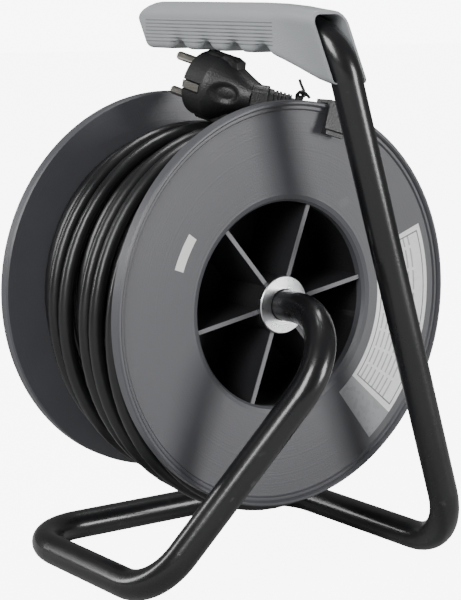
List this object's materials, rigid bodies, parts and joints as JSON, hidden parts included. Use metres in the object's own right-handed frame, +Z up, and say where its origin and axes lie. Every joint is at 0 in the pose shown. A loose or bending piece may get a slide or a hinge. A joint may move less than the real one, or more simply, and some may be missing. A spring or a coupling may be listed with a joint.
{
  "type": "extension cord reel",
  "caption": "Extension cord reel: turning drum with wound mains cord, plug and rear sockets on a bent tube stand with carrying grip.",
  "frame": {"origin": "on the floor under the drum's axis, half way between the flanges", "axes": "+Z up, drum axis along Y, the axle enters from -Y and the sockets face +Y, +X to the right seen from the axle side"},
  "size_m": [0.21, 0.1982, 0.2983],
  "materials": {
    "black_paint": "gloss",
    "grip_plastic": "satin",
    "zinc": "bright zinc",
    "black_plastic": "satin",
    "flange_plastic": "satin",
    "bush_plastic": "satin",
    "socket_plastic": "satin",
    "contact_brass": "plain",
    "contact_nickel": "nickel plated",
    "lead_pvc": "satin",
    "label_film": "gloss",
    "label_paper": "matt",
    "plug_pvc": "satin",
    "cord_pvc": "satin gloss",
    "tie_pvc": "satin",
    "button_plastic": "gloss"
  },
  "bodies": {
    "frame": {"frame_tube": "black_paint", "grip": "grip_plastic", "front_thrust_washer": "zinc", "rear_thrust_washer": "zinc", "axle_retaining_ring": "zinc", "axle_end_plug": "black_plastic"},
    "drum": {"front_flange": "flange_plastic", "rear_flange": "flange_plastic", "drum_core": "black_plastic", "drum_hub": "black_plastic", "drum_ribs": "flange_plastic", "front_bush": "bush_plastic", "rear_bush": "bush_plastic", "socket_plate": "black_plastic", "socket_1": "socket_plastic", "socket_2": "socket_plastic", "socket_3": "socket_plastic", "contact_sleeves": "contact_brass", "earth_clips": "contact_nickel", "busbars": "contact_brass", "thermal_cutout": "black_plastic", "plate_screws": "zinc", "terminal_block": "bush_plastic", "inner_leads": "lead_pvc", "cable_gland": "black_plastic", "knob_pin": "zinc", "rating_label": "label_film", "batch_sticker": "label_paper", "rim_cord_clip": "black_plastic", "plug_body": "plug_pvc", "plug_pins": "contact_nickel", "plug_earth_contacts": "contact_nickel", "plug_strain_relief": "plug_pvc", "cable_tail": "cord_pvc", "cable_winding": "cord_pvc", "twist_tie": "tie_pvc"},
    "knob": {"winding_knob": "black_plastic"},
    "button": {"reset_button": "button_plastic"}
  },
  "joints": [
    {"name": "drum_spin", "type": "hinge", "parent": "frame", "child": "drum", "pos_m": [0, 0, 0.145], "axis": [0, 1, 0], "continuous": true},
    {"name": "knob_spin", "type": "hinge", "parent": "drum", "child": "knob", "pos_m": [-0.06282, 0, 0.09229], "axis": [0, 1, 0], "continuous": true},
    {"name": "reset_press", "type": "slide", "parent": "drum", "child": "button", "axis": [0, -1, 0], "range_m": [0, 0.002], "stiffness_N_per_m": 600, "springref_m": -0.002}
  ]
}
